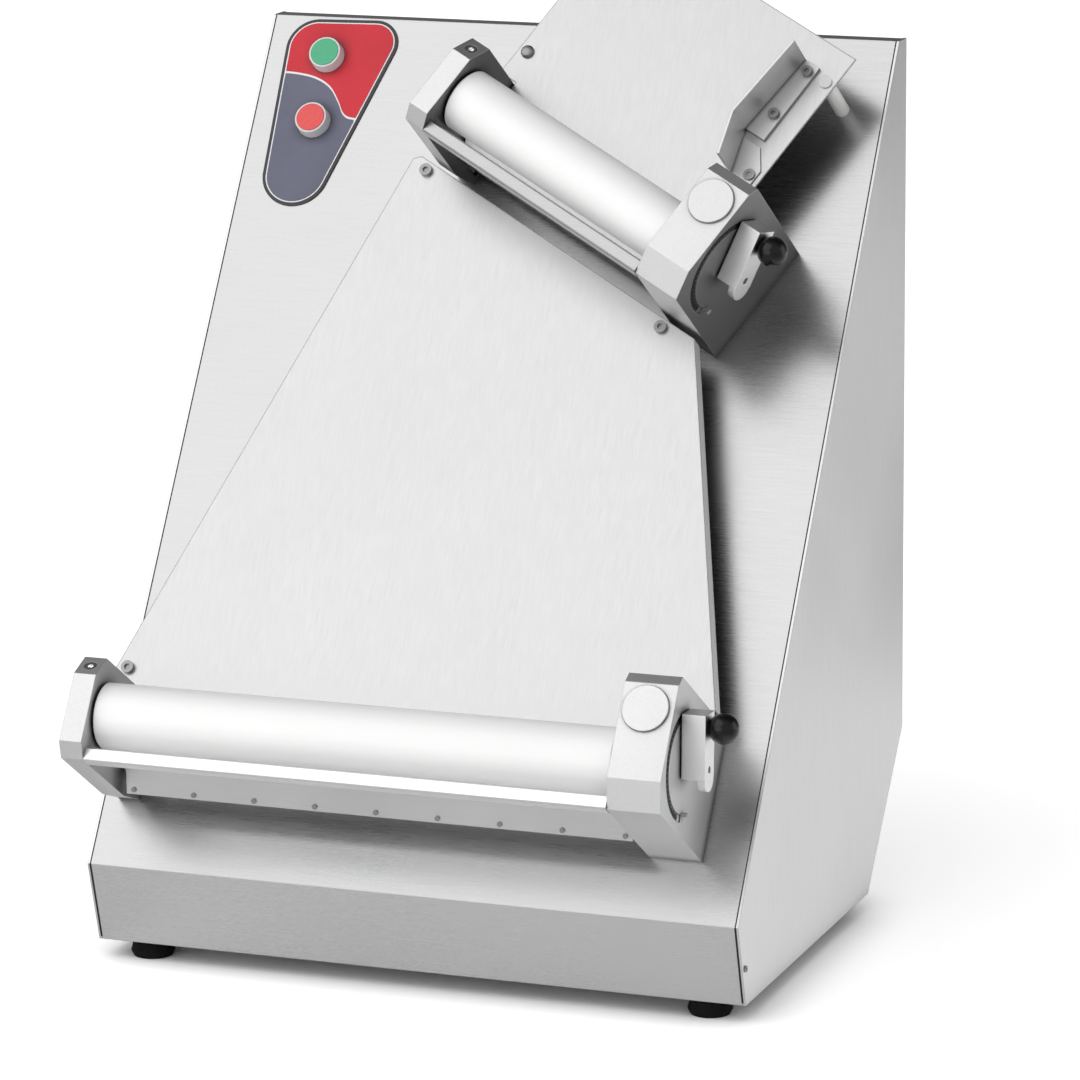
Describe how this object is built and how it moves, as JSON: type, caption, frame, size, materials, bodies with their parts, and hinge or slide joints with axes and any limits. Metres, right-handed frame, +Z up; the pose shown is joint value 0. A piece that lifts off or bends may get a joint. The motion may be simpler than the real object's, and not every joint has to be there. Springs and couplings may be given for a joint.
{
  "type": "two-stage dough sheeter",
  "caption": "Bench-top dough sheeter with a sloping steel case, an angled upper roller pair, a slide, a lower roller pair and thickness levers.",
  "frame": {"origin": "middle of the machine's outline on the worktop, under the feet", "axes": "+X to the machine's right as its user sees it (the levers' side), +Y towards its back, +Z up"},
  "size_m": [0.5262, 0.4842, 0.7651],
  "materials": {
    "bearing_bronze": "sintered bronze",
    "belt_rubber": "smooth green belt cord",
    "black_plastic": "moulded black plastic",
    "brushed_steel": "fine brushed stainless steel",
    "cap_aluminium": "satin aluminium disc",
    "cast_aluminium": "machined aluminium, satin",
    "foot_rubber": "moulded black rubber",
    "gear_plastic": "machined natural plastic",
    "green_plastic": "moulded green plastic",
    "knob_plastic": "polished black plastic",
    "label_plastic": "printed plastic, two plain colour fields",
    "motor_paint": "grey hammered paint",
    "plain_steel": "turned steel",
    "polished_steel": "polished stainless steel",
    "red_plastic": "moulded red plastic",
    "roller_plastic": "smooth food-grade white plastic",
    "sheet_steel": "brushed stainless steel sheet",
    "white_plastic": "turned white plastic"
  },
  "bodies": {
    "root": {"base_plate": "sheet_steel", "button_bezels": "brushed_steel", "casing_screws": "plain_steel", "cheek_screws": "plain_steel", "chute_guide": "sheet_steel", "chute_pegs": "white_plastic", "control_box": "black_plastic", "control_plate": "label_plastic", "dough_slide": "sheet_steel", "feed_chute": "sheet_steel", "front_panel": "sheet_steel", "housing_caps": "cap_aluminium", "layshaft_bracket": "plain_steel", "left_side_panel": "sheet_steel", "lever_stop_pins": "plain_steel", "lower_belt": "belt_rubber", "lower_front_bar": "polished_steel", "lower_gear_housing": "cast_aluminium", "lower_left_cheek": "cast_aluminium", "lower_scraper_plate": "brushed_steel", "lower_scraper_screws": "plain_steel", "motor": "motor_paint", "plate_screws": "plain_steel", "power_inlet": "black_plastic", "rear_panel": "sheet_steel", "right_side_panel": "sheet_steel", "riser_belt": "belt_rubber", "roller_bushes": "bearing_bronze", "rubber_feet": "foot_rubber", "switch_blocks": "black_plastic", "upper_belt": "belt_rubber", "upper_front_bar": "polished_steel", "upper_gear_housing": "cast_aluminium", "upper_left_cheek": "cast_aluminium"},
    "start_button": {"start_button_cap": "green_plastic"},
    "stop_button": {"stop_button_cap": "red_plastic"},
    "lower_front_roll": {"lower_front_roller": "roller_plastic", "lower_front_shaft": "plain_steel", "lower_front_gear": "gear_plastic"},
    "lower_slider": {"lower_carriage": "plain_steel"},
    "lower_rear_roll": {"lower_rear_roller": "roller_plastic", "lower_rear_shaft": "plain_steel", "lower_rear_gear": "gear_plastic"},
    "lower_cam": {"lower_lever_cam": "plain_steel"},
    "lower_handle": {"lower_lever": "brushed_steel", "lower_lever_knob": "knob_plastic"},
    "upper_front_roll": {"upper_front_roller": "roller_plastic", "upper_front_shaft": "plain_steel", "upper_front_gear": "gear_plastic"},
    "upper_slider": {"upper_carriage": "plain_steel"},
    "upper_rear_roll": {"upper_rear_roller": "roller_plastic", "upper_rear_shaft": "plain_steel", "upper_rear_gear": "gear_plastic"},
    "upper_cam": {"upper_lever_cam": "plain_steel"},
    "upper_handle": {"upper_lever": "brushed_steel", "upper_lever_knob": "knob_plastic"},
    "motor_pulley": {"motor_pulley": "gear_plastic"},
    "layshaft": {"layshaft_drum": "gear_plastic"}
  },
  "joints": [
    {"name": "start_button_press", "type": "slide", "parent": "root", "child": "start_button", "axis": [0, 0.8362, -0.5484], "range_m": [0, 0.004], "stiffness_N_per_m": 400, "springref_m": -0.002},
    {"name": "stop_button_press", "type": "slide", "parent": "root", "child": "stop_button", "axis": [0, 0.8362, -0.5484], "range_m": [0, 0.004], "stiffness_N_per_m": 400, "springref_m": -0.002},
    {"name": "lower_front_spin", "type": "hinge", "parent": "root", "child": "lower_front_roll", "pos_m": [-0.02425, -0.1992, 0.20541], "axis": [1, 0, 0], "continuous": true},
    {"name": "lower_lever_turn", "type": "hinge", "parent": "root", "child": "lower_cam", "pos_m": [0.2225, -0.18465, 0.20244], "axis": [1, 0, 0], "range_deg": [0, 150]},
    {"name": "lower_lever_pull", "type": "slide", "parent": "lower_cam", "child": "lower_handle", "axis": [1, 0, 0], "range_m": [0, 0.004], "stiffness_N_per_m": 1200, "springref_m": -0.003},
    {"name": "lower_gap_slide", "type": "slide", "parent": "root", "child": "lower_slider", "axis": [0, 0.8362, -0.5484], "range_m": [0, 0.0035]},
    {"name": "lower_rear_spin", "type": "hinge", "parent": "lower_slider", "child": "lower_rear_roll", "pos_m": [-0.02425, -0.15672, 0.17755], "axis": [1, 0, 0], "continuous": true},
    {"name": "upper_front_spin", "type": "hinge", "parent": "root", "child": "upper_front_roll", "pos_m": [0.04952, 0.05482, 0.59278], "axis": [0.8746, -0.2659, -0.4054], "continuous": true},
    {"name": "upper_lever_turn", "type": "hinge", "parent": "root", "child": "upper_cam", "pos_m": [0.18338, 0.02912, 0.52842], "axis": [0.8746, -0.2659, -0.4054], "range_deg": [0, 150]},
    {"name": "upper_lever_pull", "type": "slide", "parent": "upper_cam", "child": "upper_handle", "axis": [0.8746, -0.2659, -0.4054], "range_m": [0, 0.004], "stiffness_N_per_m": 1200, "springref_m": -0.003},
    {"name": "upper_gap_slide", "type": "slide", "parent": "root", "child": "upper_slider", "axis": [0, 0.8362, -0.5484], "range_m": [0, 0.0035]},
    {"name": "upper_rear_spin", "type": "hinge", "parent": "upper_slider", "child": "upper_rear_roll", "pos_m": [0.04952, 0.0973, 0.56492], "axis": [0.8746, -0.2659, -0.4054], "continuous": true},
    {"name": "motor_spin", "type": "hinge", "parent": "root", "child": "motor_pulley", "pos_m": [0.2052, -0.02919, 0.09392], "axis": [1, 0, 0], "continuous": true},
    {"name": "layshaft_spin", "type": "hinge", "parent": "root", "child": "layshaft", "pos_m": [0.16559, 0.18119, 0.43298], "axis": [1, 0, 0], "continuous": true}
  ],
  "couplings": [
    {"joint": "lower_lever_turn", "follows": "lower_gap_slide", "rad_per_m": 747.99},
    {"joint": "upper_lever_turn", "follows": "upper_gap_slide", "rad_per_m": 747.99},
    {"joint": "lower_rear_spin", "follows": "lower_front_spin", "ratio": -1},
    {"joint": "upper_front_spin", "follows": "lower_front_spin", "ratio": 1},
    {"joint": "upper_rear_spin", "follows": "lower_front_spin", "ratio": -1},
    {"joint": "motor_spin", "follows": "lower_front_spin", "ratio": 1},
    {"joint": "layshaft_spin", "follows": "lower_front_spin", "ratio": 1}
  ]
}
